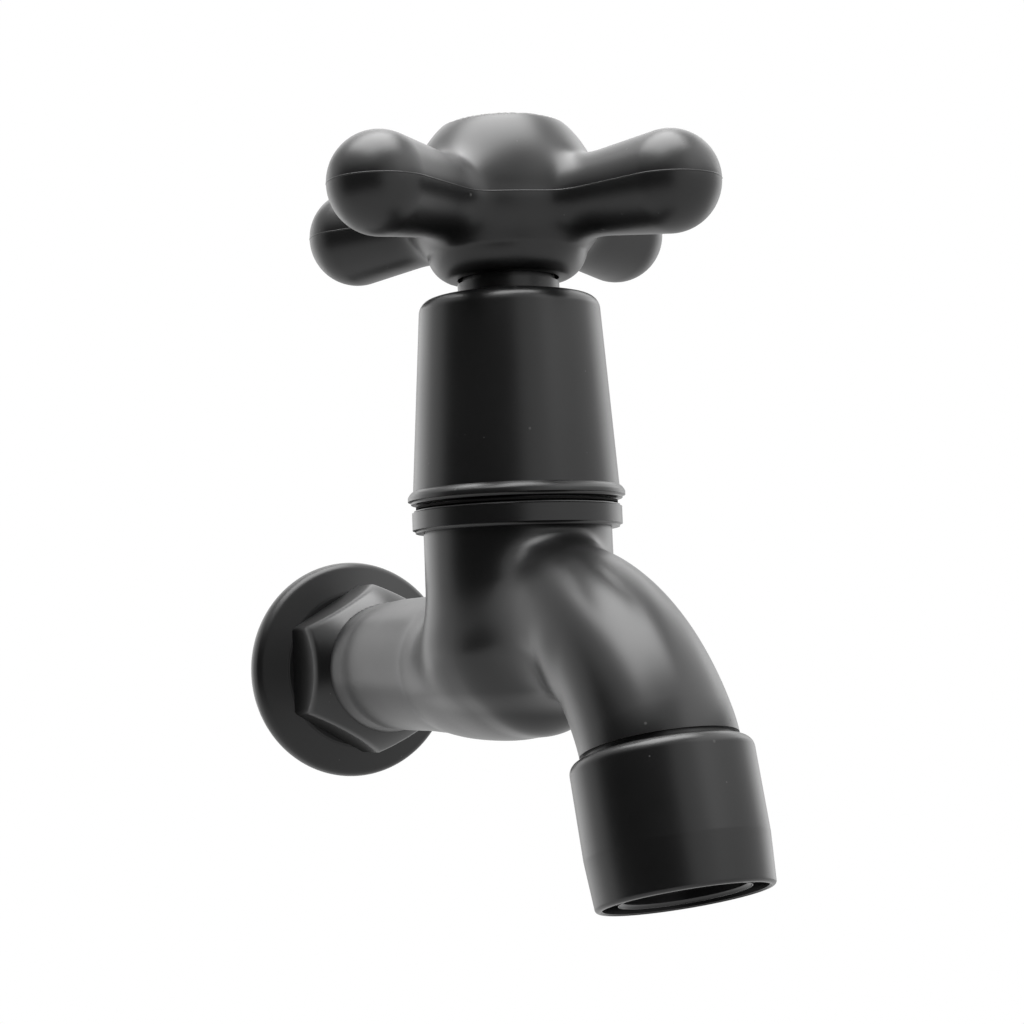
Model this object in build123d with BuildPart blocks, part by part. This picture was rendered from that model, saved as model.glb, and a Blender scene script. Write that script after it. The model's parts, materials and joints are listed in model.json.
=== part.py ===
from build123d import *
from math import cos, pi, radians, sin, sqrt, tan
import os

# A wall-mounted garden tap moulded in plastic. Turning the cross handle raises the spindle
# on its thread and lifts a rubber washer off the seat. Millimetres.
# The origin is the centre of the wall face on the inlet axis. The inlet thread runs
# along +Y into the wall, +Z is up and the spout points along -Y.

os.makedirs("parts", exist_ok=True)

# Main places
reach = 64.3  # wall face to valve axis
slip = 0.1  # radial gap where one fixed piece sits in another
running = 0.08  # radial gap round the turning spindle
face_gap = 0.2  # gap between faces that part or slide when the tap opens

# Inlet
thread_r = 20.955 / 2  # half-inch parallel pipe thread, outside
thread_length = 15.0
thread_chamfer = 1.0
tube_r = 10.5
shank_r = 10.1  # under the wall flange
bore_r = 7.0

# Wall flange
flange_r = 18.25
flange_depth = 5.5
flange_rim = 1.5  # height of the widest line of the rim above the wall
flange_edge_r = 16.2
flange_slope = 1.2
flange_flat_r = 13.2
flange_edge_round = 4.0
flange_recess_depth = 2.5
flange_recess_r = 15.6
flange_hub_r = 12.6

# Hexagon behind the inlet tube
hex_across = 24.7
hex_corner_depth = 5.2
hex_depth = 11.2
hex_base_r = 10.9
hex_hollow = 10.0  # radius of the dished front of the hexagon

# Valve chamber and neck
belly_r = 11.55
belly_shift = 9.3  # widest place of the belly, from the valve axis towards the wall
belly_curve = 75.0
belly_nose = 13.4  # front of the belly, from the valve axis
belly_nose_length = 6.0  # rounded end of the belly, under the spout
spout_blend = 5.0
neck_r = 14.0
neck_round = 3.6  # height at which the neck starts to round under
collar_r = 15.6
collar_bottom = 19.6
collar_top = 23.2
collar_edge = 0.5
spigot_r = 12.3  # threaded top of the neck, inside the cup
spigot_top = 34.0
chamber_r = 10.0

# Seat
web_bottom = -1.6
web_top = 1.0
seat_r = 4.8
seat_ring_r = 6.2
seat_ring_height = 0.8
wall = 2.0
passage_r = 8.0
passage_end = 4.0

# Spout
spout_rise = 8.3
spout_lead = 6.1
spout_bend = 35.2
spout_bend_angle = 62.0
spout_tail_bend = 9.0
spout_tilt = 14.3  # outlet axis from the vertical
spout_start_r = 9.35
spout_end_r = 10.85
spout_groove = 0.7
spout_groove_r = 10.2
outlet_spigot_r = 9.4
outlet_spigot_length = 8.5

# Nozzle
nozzle_r = 12.5
nozzle_straight = 13.0  # depth to which the outside is a true cylinder
nozzle_mouth_r = 12.15
nozzle_length = 20.0
nozzle_shoulder = 1.6
nozzle_lip = 0.9
mouth_r = 10.5
nozzle_seat = 9.8  # depth of the inner shoulder
nozzle_seat_thick = 1.7
nozzle_waist_r = 7.6
insert_r = 9.45
insert_bore_r = 7.5
insert_flange = 1.4
insert_recess = 0.7
insert_ledge = 0.4
grid_thick = 1.2
grid_depth = 4.2
grid_hole_r = 0.95
grid_pitch = 2.6
grid_rings = 2

# Cup over the neck
cup_gap = 0.3
cup_rim_r = 16.15
cup_rim_height = 2.3
cup_base_r = 15.34
cup_draft = 3.87  # degrees
cup_shoulder = 51.8
cup_round = 2.4
cup_crown = 13.0  # degrees that the top rises towards the middle
cup_thread_top = 36.9
cup_ceiling_drop = 0.6
cup_clearance = 2.2
cup_press = 0.9  # width of the step that holds the guide down
collar_gasket_r = 15.0

# Spindle guide
guide_plug_bottom = 21.0
guide_flange_r = 11.9
guide_flange_thick = 2.7
guide_tube_r = 8.6
guide_neck_r = 6.9
guide_top = 60.3
guide_ribs = 8
guide_rib_out = 1.6
guide_rib_width = 1.4
guide_thread_r = 6.5
guide_thread_top = 36.0
guide_bore_r = 4.58
oring_section = 0.9
oring_height = 27.0

# Spindle, washer and jumper
lead = 2.5  # rise for each turn of the handle
handle_turns = 600.0  # degrees from shut to open
washer_r = 6.4
washer_thick = 2.7
washer_round = 0.5
jumper_r = 6.5
jumper_thick = 2.4
jumper_stem_r = 2.4
jumper_stem = 7.0
spindle_skirt = 3.0
spindle_foot_r = 5.8
spindle_drive = 6.2
drive_round = 0.4
spindle_shoulder = 61.0
drive_end = 2.6  # top of the spindle, below the floor of the screw well
spindle_oring_section = 0.7
spindle_oring_heights = (42.0, 46.0)
thrust_thick = 0.8
washer_screw_r = 1.5
washer_screw_head_r = 2.6
washer_screw_head = 1.6
washer_screw_length = 4.5

# Handle
arm_height = 67.5
arm_reach = 29.3
arm_ball_r = 7.45
arm_taper = 6.5  # degrees
arm_angle = 25.4  # degrees from +X to the first arm, at rest
arm_fillet = 3.0
hub_bottom = 57.2
hub_bottom_r = 9.0
hub_r = 10.9
hub_foot = 3.4
hub_foot_round = 4.6
hub_round = 4.0
hub_top = 80.4
hub_crown_r = 7.6
hub_hollow_r = 7.6
hub_hollow_top = 62.4
screw_well_depth = 5.2
screw_well_r = 4.6
screw_r = 1.9
screw_head_r = 3.6
screw_head = 2.4
screw_length = 9.0
cap_r = 6.9
cap_seat = 2.3
cap_skirt = 1.0
cap_dome = 0.8

# Planes and axes
valve_section = Plane(origin=(0, -reach, 0), x_dir=(1, 0, 0), z_dir=(0, -1, 0))
valve_axis = Axis((0, -reach, 0), (0, 0, 1))
valve_floor = Plane(origin=(0, -reach, 0))

spout_turn = radians(90 - spout_tilt)
bend = radians(spout_bend_angle)
outlet_y = -reach - spout_lead - spout_bend * sin(bend) - spout_tail_bend * (sin(spout_turn) - sin(bend))
outlet_z = spout_rise - spout_bend * (1 - cos(bend)) - spout_tail_bend * (cos(bend) - cos(spout_turn))
tilt = radians(spout_tilt)
outlet_up = (0, sin(tilt), cos(tilt))
outlet_section = Plane(
    origin=(0, outlet_y, outlet_z), x_dir=(1, 0, 0), z_dir=(0, -cos(tilt), sin(tilt))
)
outlet_axis = Axis((0, outlet_y, outlet_z), outlet_up)
outlet_plane = Plane(origin=(0, outlet_y, outlet_z), x_dir=(1, 0, 0), z_dir=outlet_up)


def spout_line():
    """Centre line of the spout, from the valve axis to the outlet."""
    with BuildLine(Plane.YZ) as line:
        lead_in = Line((-reach, spout_rise), (-reach - spout_lead, spout_rise))
        main = JernArc(lead_in @ 1, lead_in % 1, spout_bend, spout_bend_angle)
        JernArc(main @ 1, main % 1, spout_tail_bend, 90 - spout_tilt - spout_bend_angle)
    return line.line

# Tap body
belly_y = -reach + belly_shift
belly_z = belly_r - belly_curve
belly_start = belly_y + sqrt(belly_curve**2 - (tube_r - belly_z) ** 2)
belly_front = -reach - belly_nose + belly_nose_length
belly_front_r = belly_z + sqrt(belly_curve**2 - (belly_y - belly_front) ** 2)
hex_front = -flange_depth - hex_depth
hex_corner_r = hex_across / 2 / cos(pi / 6)
web_wall = -reach + chamber_r + wall

with BuildPart() as hexagon:
    # dished front face of the hexagon, cut to six sides
    with BuildSketch(Plane.YZ):
        with BuildLine():
            Polyline(
                (hex_front, hex_base_r),
                (hex_front, 0),
                (-flange_depth, 0),
                (-flange_depth, hex_corner_r),
                (-flange_depth - hex_corner_depth, hex_corner_r),
            )
            RadiusArc(
                (-flange_depth - hex_corner_depth, hex_corner_r), (hex_front, hex_base_r), hex_hollow
            )
        make_face()
    revolve(axis=Axis.Y)
    with BuildSketch(Plane.XZ.offset(flange_depth)):
        RegularPolygon(hex_corner_r, 6, rotation=30)
    extrude(amount=hex_depth, mode=Mode.INTERSECT)

with BuildPart() as passage:
    # space under the seat: the lower half of a round nose that follows the belly
    with BuildSketch(Plane.YZ):
        with BuildLine():
            Polyline(
                (belly_front - passage_end, 0),
                (web_wall + bore_r, 0),
                (web_wall + bore_r, passage_r),
                (belly_front, passage_r),
            )
            EllipticalCenterArc((belly_front, 0), passage_end, passage_r, start_angle=90, arc_size=90)
        make_face()
    revolve(axis=Axis.Y)
    split(bisect_by=Plane.XY.offset(web_bottom), keep=Keep.BOTTOM)

with BuildPart() as tap_body:
    # neck, rounded under
    with BuildSketch(valve_section):
        with BuildLine():
            Polyline((neck_r, neck_round), (neck_r, collar_top), (0, collar_top), (0, neck_round - neck_r))
            RadiusArc((0, neck_round - neck_r), (neck_r, neck_round), -neck_r)
        make_face()
    revolve(axis=valve_axis)
    # spout, a little wider at its outlet, blended into the neck
    spout_path = spout_line()
    with BuildSketch(Plane(origin=spout_path @ 0, z_dir=spout_path % 0)):
        Circle(spout_start_r)
    with BuildSketch(Plane(origin=spout_path @ 1, z_dir=spout_path % 1)):
        Circle(spout_end_r)
    sweep(path=spout_path, multisection=True)
    # the blend runs along both flanks of the spout, off its seam on X = 0 and near the neck
    spout_crease = tap_body.edges().filter_by(GeomType.BSPLINE).filter_by(
        lambda edge: abs(edge.center().X) > wall and edge.center().Y > -reach - neck_r - wall
    )
    fillet(spout_crease, spout_blend)
    # inlet thread, tube and belly, turned about the inlet axis
    with BuildSketch(Plane.YZ):
        with BuildLine():
            Polyline(
                (belly_start, tube_r),
                (-flange_depth, tube_r),
                (-flange_depth, shank_r),
                (0, shank_r),
                (0, thread_r),
                (thread_length - thread_chamfer, thread_r),
                (thread_length, thread_r - thread_chamfer),
                (thread_length, 0),
                (-reach - belly_nose, 0),
            )
            ThreePointArc((belly_start, tube_r), (belly_y, belly_r), (belly_front, belly_front_r))
            EllipticalCenterArc(
                (belly_front, 0), belly_nose_length, belly_front_r, start_angle=90, arc_size=90
            )
        make_face()
    revolve(axis=Axis.Y)
    add(hexagon.part)
    # collar and threaded top of the neck
    with BuildSketch(valve_section):
        Polygon(
            (chamber_r, collar_bottom),
            (collar_r - collar_edge, collar_bottom),
            (collar_r, collar_bottom + collar_edge),
            (collar_r, collar_top),
            (spigot_r, collar_top),
            (spigot_r, spigot_top),
            (chamber_r, spigot_top),
            align=None,
        )
    revolve(axis=valve_axis)
    # the spout stops square, a groove's height above the nozzle
    with BuildSketch(outlet_section):
        Polygon(
            (0, spout_groove),
            (spout_end_r + wall, spout_groove),
            (spout_end_r + wall, -wall),
            (0, -wall),
            align=None,
        )
    revolve(axis=outlet_axis, mode=Mode.SUBTRACT)
    # bottom of the groove, and threaded end that carries the nozzle
    with BuildSketch(outlet_section):
        Polygon(
            (0, spout_groove),
            (spout_groove_r, spout_groove),
            (spout_groove_r, 0),
            (outlet_spigot_r, 0),
            (outlet_spigot_r, -outlet_spigot_length),
            (0, -outlet_spigot_length),
            align=None,
        )
    revolve(axis=outlet_axis)
    # chamber over the seat, with the raised seat ring left standing
    with BuildSketch(valve_section):
        Polygon(
            (0, web_top),
            (seat_r, web_top),
            (seat_r, web_top + seat_ring_height),
            (seat_ring_r, web_top + seat_ring_height),
            (seat_ring_r + seat_ring_height, web_top),
            (chamber_r, web_top),
            (chamber_r, spigot_top),
            (0, spigot_top),
            align=None,
        )
    revolve(axis=valve_axis, mode=Mode.SUBTRACT)
    # hole through the seat
    with BuildSketch(valve_floor.offset(web_bottom - 1)):
        Circle(seat_r)
    extrude(amount=web_top + seat_ring_height - web_bottom + 2, mode=Mode.SUBTRACT)
    # inlet bore, stopped short of the chamber
    with BuildSketch(Plane.XZ.offset(-thread_length)):
        Circle(bore_r)
    extrude(amount=thread_length - web_wall, mode=Mode.SUBTRACT)
    # passage under the seat
    add(passage.part, mode=Mode.SUBTRACT)
    # spout bore, from the chamber to the outlet
    with BuildSketch(Plane(origin=spout_path @ 0, z_dir=spout_path % 0)):
        Circle(bore_r)
    sweep(path=spout_path, mode=Mode.SUBTRACT)
    with BuildSketch(outlet_plane):
        Circle(bore_r)
    extrude(amount=-outlet_spigot_length, mode=Mode.SUBTRACT)
tap_body.part.label = "tap_body"
export_step(tap_body.part, "parts/tap_body.step")


# Wall flange, slipped over the inlet thread
with BuildPart() as wall_flange:
    with BuildSketch(Plane.YZ):
        with BuildLine():
            Polyline(
                (-flange_rim, flange_r),
                (0, flange_r - flange_rim / 2),
                (0, flange_recess_r),
                (-flange_recess_depth, flange_recess_r),
                (-flange_recess_depth, flange_hub_r),
                (0, flange_hub_r),
                (0, thread_r + slip),
                (-flange_depth, thread_r + slip),
                (-flange_depth, flange_flat_r),
                (-flange_depth + flange_slope, flange_edge_r),
            )
            RadiusArc(
                (-flange_depth + flange_slope, flange_edge_r), (-flange_rim, flange_r), flange_edge_round
            )
        make_face()
    revolve(axis=Axis.Y)
wall_flange.part.label = "wall_flange"
export_step(wall_flange.part, "parts/wall_flange.step")

# Gasket between collar and cup
with BuildPart() as collar_gasket:
    with BuildSketch(valve_floor.offset(collar_top)):
        Circle(collar_gasket_r)
        Circle(spigot_r + slip, mode=Mode.SUBTRACT)
    extrude(amount=cup_gap)
collar_gasket.part.label = "collar_gasket"
export_step(collar_gasket.part, "parts/collar_gasket.step")

# Cup over the neck
cup_bottom = collar_top + cup_gap
cup_slope = tan(radians(cup_draft))
cup_foot = cup_bottom + cup_rim_height
cup_shoulder_r = cup_base_r - (cup_shoulder - cup_foot) * cup_slope
cup_arc = radians(90 - cup_draft - cup_crown)
cup_edge_r = cup_shoulder_r - cup_round * (cos(radians(cup_draft)) - cos(radians(cup_draft) + cup_arc))
cup_edge = cup_shoulder + cup_round * (sin(radians(cup_draft) + cup_arc) - sin(radians(cup_draft)))
cup_hole_r = guide_neck_r + slip
cup_top = cup_edge + (cup_edge_r - cup_hole_r) * tan(radians(cup_crown))
cup_thread_r = spigot_r + slip
cup_ceiling = cup_shoulder - cup_ceiling_drop
cup_inner_r = guide_tube_r + cup_clearance

with BuildPart() as bonnet_cover:
    with BuildSketch(valve_section):
        with BuildLine():
            Polyline(
                (cup_edge_r, cup_edge),
                (cup_hole_r, cup_top),
                (cup_hole_r, cup_ceiling),
                (cup_inner_r, cup_ceiling),
                (guide_flange_r - cup_press, cup_thread_top),
                (cup_thread_r, cup_thread_top),
                (cup_thread_r, cup_bottom),
                (cup_rim_r - collar_edge, cup_bottom),
                (cup_rim_r, cup_bottom + collar_edge),
                (cup_rim_r, cup_bottom + cup_rim_height / 2),
            )
            RadiusArc((cup_rim_r, cup_bottom + cup_rim_height / 2), (cup_base_r, cup_foot), cup_rim_height)
            Line((cup_base_r, cup_foot), (cup_shoulder_r, cup_shoulder))
            RadiusArc((cup_shoulder_r, cup_shoulder), (cup_edge_r, cup_edge), -cup_round)
        make_face()
    revolve(axis=valve_axis)
bonnet_cover.part.label = "bonnet_cover"
export_step(bonnet_cover.part, "parts/bonnet_cover.step")


# Spindle guide, held down by the cup
guide_plug_r = chamber_r - slip
flange_top = spigot_top + guide_flange_thick
oring_r = guide_plug_r - oring_section
guide_shoulder = cup_ceiling - face_gap

with BuildPart() as spindle_guide:
    with BuildSketch(valve_section):
        Polygon(
            (guide_thread_r, guide_plug_bottom),
            (guide_plug_r, guide_plug_bottom),
            (guide_plug_r, oring_height - oring_section - slip),
            (oring_r - oring_section, oring_height - oring_section - slip),
            (oring_r - oring_section, oring_height + oring_section + slip),
            (guide_plug_r, oring_height + oring_section + slip),
            (guide_plug_r, spigot_top),
            (guide_flange_r, spigot_top),
            (guide_flange_r, flange_top),
            (guide_tube_r, flange_top),
            (guide_tube_r, guide_shoulder),
            (guide_neck_r, guide_shoulder),
            (guide_neck_r, guide_top),
            (guide_bore_r, guide_top),
            (guide_bore_r, guide_thread_top),
            (guide_thread_r, guide_thread_top),
            align=None,
        )
    revolve(axis=valve_axis)
    with BuildSketch(valve_floor.offset(flange_top)):
        with PolarLocations(guide_tube_r, guide_ribs):
            Rectangle(2 * guide_rib_out, guide_rib_width)
        Circle(guide_tube_r - guide_rib_out, mode=Mode.SUBTRACT)
    extrude(amount=guide_shoulder - flange_top)
spindle_guide.part.label = "spindle_guide"
export_step(spindle_guide.part, "parts/spindle_guide.step")

with BuildPart() as guide_oring:
    with BuildSketch(valve_section):
        with Locations((oring_r, oring_height)):
            Circle(oring_section)
    revolve(axis=valve_axis)
guide_oring.part.label = "guide_oring"
export_step(guide_oring.part, "parts/guide_oring.step")

with BuildPart() as thrust_washer:
    with BuildSketch(valve_floor.offset(guide_thread_top - thrust_thick)):
        Circle(guide_thread_r - slip)
        Circle(guide_bore_r + slip, mode=Mode.SUBTRACT)
    extrude(amount=thrust_thick)
thrust_washer.part.label = "thrust_washer"
export_step(thrust_washer.part, "parts/thrust_washer.step")

# Washer and jumper, which lift off the seat without turning
travel = lead * handle_turns / 360
washer_bottom = web_top + seat_ring_height + face_gap
jumper_bottom = washer_bottom + washer_thick
jumper_top = jumper_bottom + jumper_thick

with BuildPart() as seat_washer:
    with BuildSketch(valve_floor.offset(washer_bottom)):
        Circle(washer_r)
        Circle(washer_screw_r + slip, mode=Mode.SUBTRACT)
    extrude(amount=washer_thick)
    fillet(seat_washer.edges().group_by(Axis.Z)[0].sort_by(SortBy.RADIUS)[-1], washer_round)
seat_washer.part.label = "seat_washer"
export_step(seat_washer.part, "parts/seat_washer.step")

with BuildPart() as jumper_valve:
    with BuildSketch(valve_section):
        Polygon(
            (0, jumper_bottom),
            (jumper_r, jumper_bottom),
            (jumper_r, jumper_top),
            (jumper_stem_r, jumper_top),
            (jumper_stem_r, jumper_top + jumper_stem - slip),
            (jumper_stem_r - slip, jumper_top + jumper_stem),
            (0, jumper_top + jumper_stem),
            align=None,
        )
    revolve(axis=valve_axis)
    with BuildSketch(valve_floor.offset(jumper_bottom)):
        Circle(washer_screw_r)
    extrude(amount=washer_screw_length, mode=Mode.SUBTRACT)
jumper_valve.part.label = "jumper_valve"
export_step(jumper_valve.part, "parts/jumper_valve.step")

with BuildPart() as washer_screw:
    with BuildSketch(valve_section):
        Polygon(
            (0, washer_bottom - washer_screw_head),
            (washer_screw_head_r, washer_bottom - washer_screw_head),
            (washer_screw_head_r, washer_bottom),
            (washer_screw_r - slip / 2, washer_bottom),
            (washer_screw_r - slip / 2, jumper_bottom + washer_screw_length - slip),
            (0, jumper_bottom + washer_screw_length - slip),
            align=None,
        )
    revolve(axis=valve_axis)
washer_screw.part.label = "washer_screw"
export_step(washer_screw.part, "parts/washer_screw.step")

# Spindle, threaded in the guide
screw_floor = hub_top - screw_well_depth
spindle_top = screw_floor - drive_end
shaft_r = guide_bore_r - running
spindle_thread_r = guide_thread_r - running
spindle_bottom = jumper_top + face_gap
spindle_thread_top = guide_thread_top - thrust_thick - travel - face_gap
shaft_ring_r = shaft_r - spindle_oring_section
groove_r = shaft_ring_r - spindle_oring_section
groove_half = spindle_oring_section + slip

with BuildPart() as spindle:
    with BuildSketch(valve_section):
        Polygon(
            (0, spindle_bottom),
            (spindle_foot_r, spindle_bottom),
            (spindle_foot_r, spindle_bottom + spindle_skirt),
            (spindle_thread_r, spindle_bottom + spindle_skirt),
            (spindle_thread_r, spindle_thread_top),
            (shaft_r, spindle_thread_top),
            (shaft_r, spindle_shoulder),
            (0, spindle_shoulder),
            align=None,
        )
    revolve(axis=valve_axis)
    for height in spindle_oring_heights:
        with BuildSketch(valve_section):
            Polygon(
                (groove_r, height - groove_half),
                (shaft_r + slip, height - groove_half),
                (shaft_r + slip, height + groove_half),
                (groove_r, height + groove_half),
                align=None,
            )
        revolve(axis=valve_axis, mode=Mode.SUBTRACT)
    with BuildSketch(valve_floor.offset(spindle_shoulder)):
        RectangleRounded(spindle_drive, spindle_drive, drive_round, rotation=arm_angle)
    extrude(amount=spindle_top - spindle_shoulder)
    with BuildSketch(valve_floor.offset(spindle_bottom)):
        Circle(jumper_stem_r + slip)
    extrude(amount=jumper_stem + face_gap, mode=Mode.SUBTRACT)
    with BuildSketch(valve_floor.offset(spindle_top)):
        Circle(screw_r + slip / 2)
    extrude(amount=-screw_length, mode=Mode.SUBTRACT)
spindle.part.label = "spindle"
export_step(spindle.part, "parts/spindle.step")

for height, name in zip(spindle_oring_heights, ("spindle_oring_lower", "spindle_oring_upper")):
    with BuildPart() as shaft_oring:
        with BuildSketch(valve_section):
            with Locations((shaft_ring_r, height)):
                Circle(spindle_oring_section)
        revolve(axis=valve_axis)
    shaft_oring.part.label = name
    export_step(shaft_oring.part, f"parts/{name}.step")

# Cross handle
arm_angles = [arm_angle + 90 * arm for arm in range(4)]
taper = radians(arm_taper)
ball_touch = (arm_reach - arm_ball_r * sin(taper), arm_ball_r * cos(taper))
arm_start_r = arm_ball_r / cos(taper) - arm_reach * tan(taper)
hub_shoulder = hub_top - hub_round

with BuildPart() as handle:
    with BuildSketch(valve_section):
        with BuildLine():
            Polyline(
                (hub_bottom_r, hub_bottom),
                (0, hub_bottom),
                (0, hub_top),
                (hub_crown_r, hub_top),
            )
            RadiusArc((hub_crown_r, hub_top), (hub_r, hub_shoulder), hub_round)
            Line((hub_r, hub_shoulder), (hub_r, hub_bottom + hub_foot))
            RadiusArc((hub_r, hub_bottom + hub_foot), (hub_bottom_r, hub_bottom), hub_foot_round)
        make_face()
    revolve(axis=valve_axis)
    for angle in arm_angles:
        along = (cos(radians(angle)), sin(radians(angle)), 0)
        across = (sin(radians(angle)), -cos(radians(angle)), 0)
        centre = (0, -reach, arm_height)
        with BuildSketch(Plane(origin=centre, x_dir=along, z_dir=across)):
            with BuildLine():
                Polyline(ball_touch, (0, arm_start_r), (0, 0), (arm_reach + arm_ball_r, 0))
                RadiusArc(ball_touch, (arm_reach + arm_ball_r, 0), arm_ball_r)
            make_face()
        revolve(axis=Axis(centre, along))
    arm_crease = handle.edges().filter_by(GeomType.BSPLINE)
    fillet(arm_crease, arm_fillet)
    # hollow under the hub, round the neck of the guide
    with BuildSketch(valve_floor.offset(hub_bottom)):
        Circle(hub_hollow_r)
    extrude(amount=hub_hollow_top - hub_bottom, mode=Mode.SUBTRACT)
    # drive socket, screw hole, screw well and seat of the cap
    with BuildSketch(valve_floor.offset(hub_hollow_top)):
        RectangleRounded(spindle_drive + slip, spindle_drive + slip, drive_round, rotation=arm_angle)
    extrude(amount=spindle_top + face_gap - hub_hollow_top, mode=Mode.SUBTRACT)
    with BuildSketch(valve_floor.offset(spindle_top)):
        Circle(screw_r + slip)
    extrude(amount=screw_floor - spindle_top, mode=Mode.SUBTRACT)
    with BuildSketch(valve_floor.offset(screw_floor)):
        Circle(screw_well_r)
    extrude(amount=hub_top - screw_floor, mode=Mode.SUBTRACT)
    with BuildSketch(valve_floor.offset(hub_top)):
        Circle(cap_r + slip)
    extrude(amount=-cap_seat, mode=Mode.SUBTRACT)
handle.part.label = "handle"
export_step(handle.part, "parts/handle.step")

with BuildPart() as handle_screw:
    with BuildSketch(valve_section):
        Polygon(
            (0, screw_floor + screw_head),
            (screw_head_r - slip, screw_floor + screw_head),
            (screw_head_r, screw_floor + screw_head - slip),
            (screw_head_r, screw_floor),
            (screw_r, screw_floor),
            (screw_r, spindle_top - screw_length + face_gap),
            (0, spindle_top - screw_length + face_gap),
            align=None,
        )
    revolve(axis=valve_axis)
handle_screw.part.label = "handle_screw"
export_step(handle_screw.part, "parts/handle_screw.step")

with BuildPart() as handle_cap:
    with BuildSketch(valve_section):
        with BuildLine():
            Polyline(
                (0, hub_top + cap_dome),
                (0, hub_top - cap_seat),
                (screw_head_r + slip, hub_top - cap_seat),
                (screw_head_r + slip, hub_top - cap_seat - cap_skirt),
                (screw_well_r - slip, hub_top - cap_seat - cap_skirt),
                (screw_well_r - slip, hub_top - cap_seat),
                (cap_r, hub_top - cap_seat),
                (cap_r, hub_top),
            )
            RadiusArc((0, hub_top + cap_dome), (cap_r, hub_top), (cap_r**2 + cap_dome**2) / (2 * cap_dome))
        make_face()
    revolve(axis=valve_axis)
handle_cap.part.label = "handle_cap"
export_step(handle_cap.part, "parts/handle_cap.step")

# Nozzle, screwed on the end of the spout
insert_top = nozzle_seat + nozzle_seat_thick
insert_end = nozzle_length - insert_recess
grid_top = insert_end - grid_depth

with BuildPart() as nozzle:
    with BuildSketch(outlet_section):
        with BuildLine():
            Polyline(
                (nozzle_r - nozzle_shoulder, 0),
                (outlet_spigot_r + slip, 0),
                (outlet_spigot_r + slip, -nozzle_seat),
                (nozzle_waist_r, -nozzle_seat),
                (nozzle_waist_r, -insert_top),
                (mouth_r, -insert_top),
                (mouth_r, -nozzle_length),
                (nozzle_mouth_r - nozzle_lip, -nozzle_length),
            )
            RadiusArc(
                (nozzle_mouth_r - nozzle_lip, -nozzle_length),
                (nozzle_mouth_r, nozzle_lip - nozzle_length),
                -nozzle_lip,
            )
            Line((nozzle_mouth_r, nozzle_lip - nozzle_length), (nozzle_r, -nozzle_straight))
            Line((nozzle_r, -nozzle_straight), (nozzle_r, -nozzle_shoulder))
            RadiusArc((nozzle_r, -nozzle_shoulder), (nozzle_r - nozzle_shoulder, 0), -nozzle_shoulder)
        make_face()
    revolve(axis=outlet_axis)
nozzle.part.label = "nozzle"
export_step(nozzle.part, "parts/nozzle.step")

with BuildPart() as nozzle_gasket:
    with BuildSketch(outlet_plane.offset(-outlet_spigot_length - slip)):
        Circle(outlet_spigot_r)
        Circle(bore_r + slip, mode=Mode.SUBTRACT)
    extrude(amount=outlet_spigot_length + 2 * slip - nozzle_seat)
nozzle_gasket.part.label = "nozzle_gasket"
export_step(nozzle_gasket.part, "parts/nozzle_gasket.step")

with BuildPart() as outlet_insert:
    with BuildSketch(outlet_section):
        Polygon(
            (insert_bore_r, -insert_top),
            (mouth_r - slip, -insert_top),
            (mouth_r - slip, -insert_top - insert_flange),
            (insert_r, -insert_top - insert_flange),
            (insert_r, -insert_end),
            (insert_bore_r - insert_ledge, -insert_end),
            (insert_bore_r - insert_ledge, -grid_top - grid_thick),
            (insert_bore_r, -grid_top - grid_thick),
            align=None,
        )
    revolve(axis=outlet_axis)
outlet_insert.part.label = "outlet_insert"
export_step(outlet_insert.part, "parts/outlet_insert.step")

with BuildPart() as flow_grid:
    with BuildSketch(outlet_plane.offset(-grid_top)):
        Circle(insert_bore_r - slip)
        Circle(grid_hole_r, mode=Mode.SUBTRACT)
        for ring in range(1, grid_rings + 1):
            with PolarLocations(grid_pitch * ring, 6 * ring):
                Circle(grid_hole_r, mode=Mode.SUBTRACT)
    extrude(amount=-grid_thick)
flow_grid.part.label = "flow_grid"
export_step(flow_grid.part, "parts/flow_grid.step")
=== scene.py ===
import json
import math

import bmesh
import bpy
import numpy as np
from mathutils import Matrix


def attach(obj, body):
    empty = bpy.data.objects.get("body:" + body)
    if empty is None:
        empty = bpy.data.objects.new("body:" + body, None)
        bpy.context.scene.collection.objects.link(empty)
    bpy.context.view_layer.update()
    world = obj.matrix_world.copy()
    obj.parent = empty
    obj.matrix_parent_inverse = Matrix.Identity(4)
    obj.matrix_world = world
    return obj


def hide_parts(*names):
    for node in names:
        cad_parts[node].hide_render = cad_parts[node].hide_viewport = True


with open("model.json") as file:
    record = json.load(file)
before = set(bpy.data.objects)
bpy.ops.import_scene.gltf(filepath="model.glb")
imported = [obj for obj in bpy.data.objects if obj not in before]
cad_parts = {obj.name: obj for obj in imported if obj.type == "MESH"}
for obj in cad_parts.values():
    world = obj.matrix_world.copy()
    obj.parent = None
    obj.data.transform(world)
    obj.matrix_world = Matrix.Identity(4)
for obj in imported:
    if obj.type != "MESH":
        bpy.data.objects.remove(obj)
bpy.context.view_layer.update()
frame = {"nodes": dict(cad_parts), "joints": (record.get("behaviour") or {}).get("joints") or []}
scene = bpy.context.scene
scene.view_settings.view_transform = "Standard"
mm = 0.001  # sizes below are in millimetres, Blender is in metres

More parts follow.
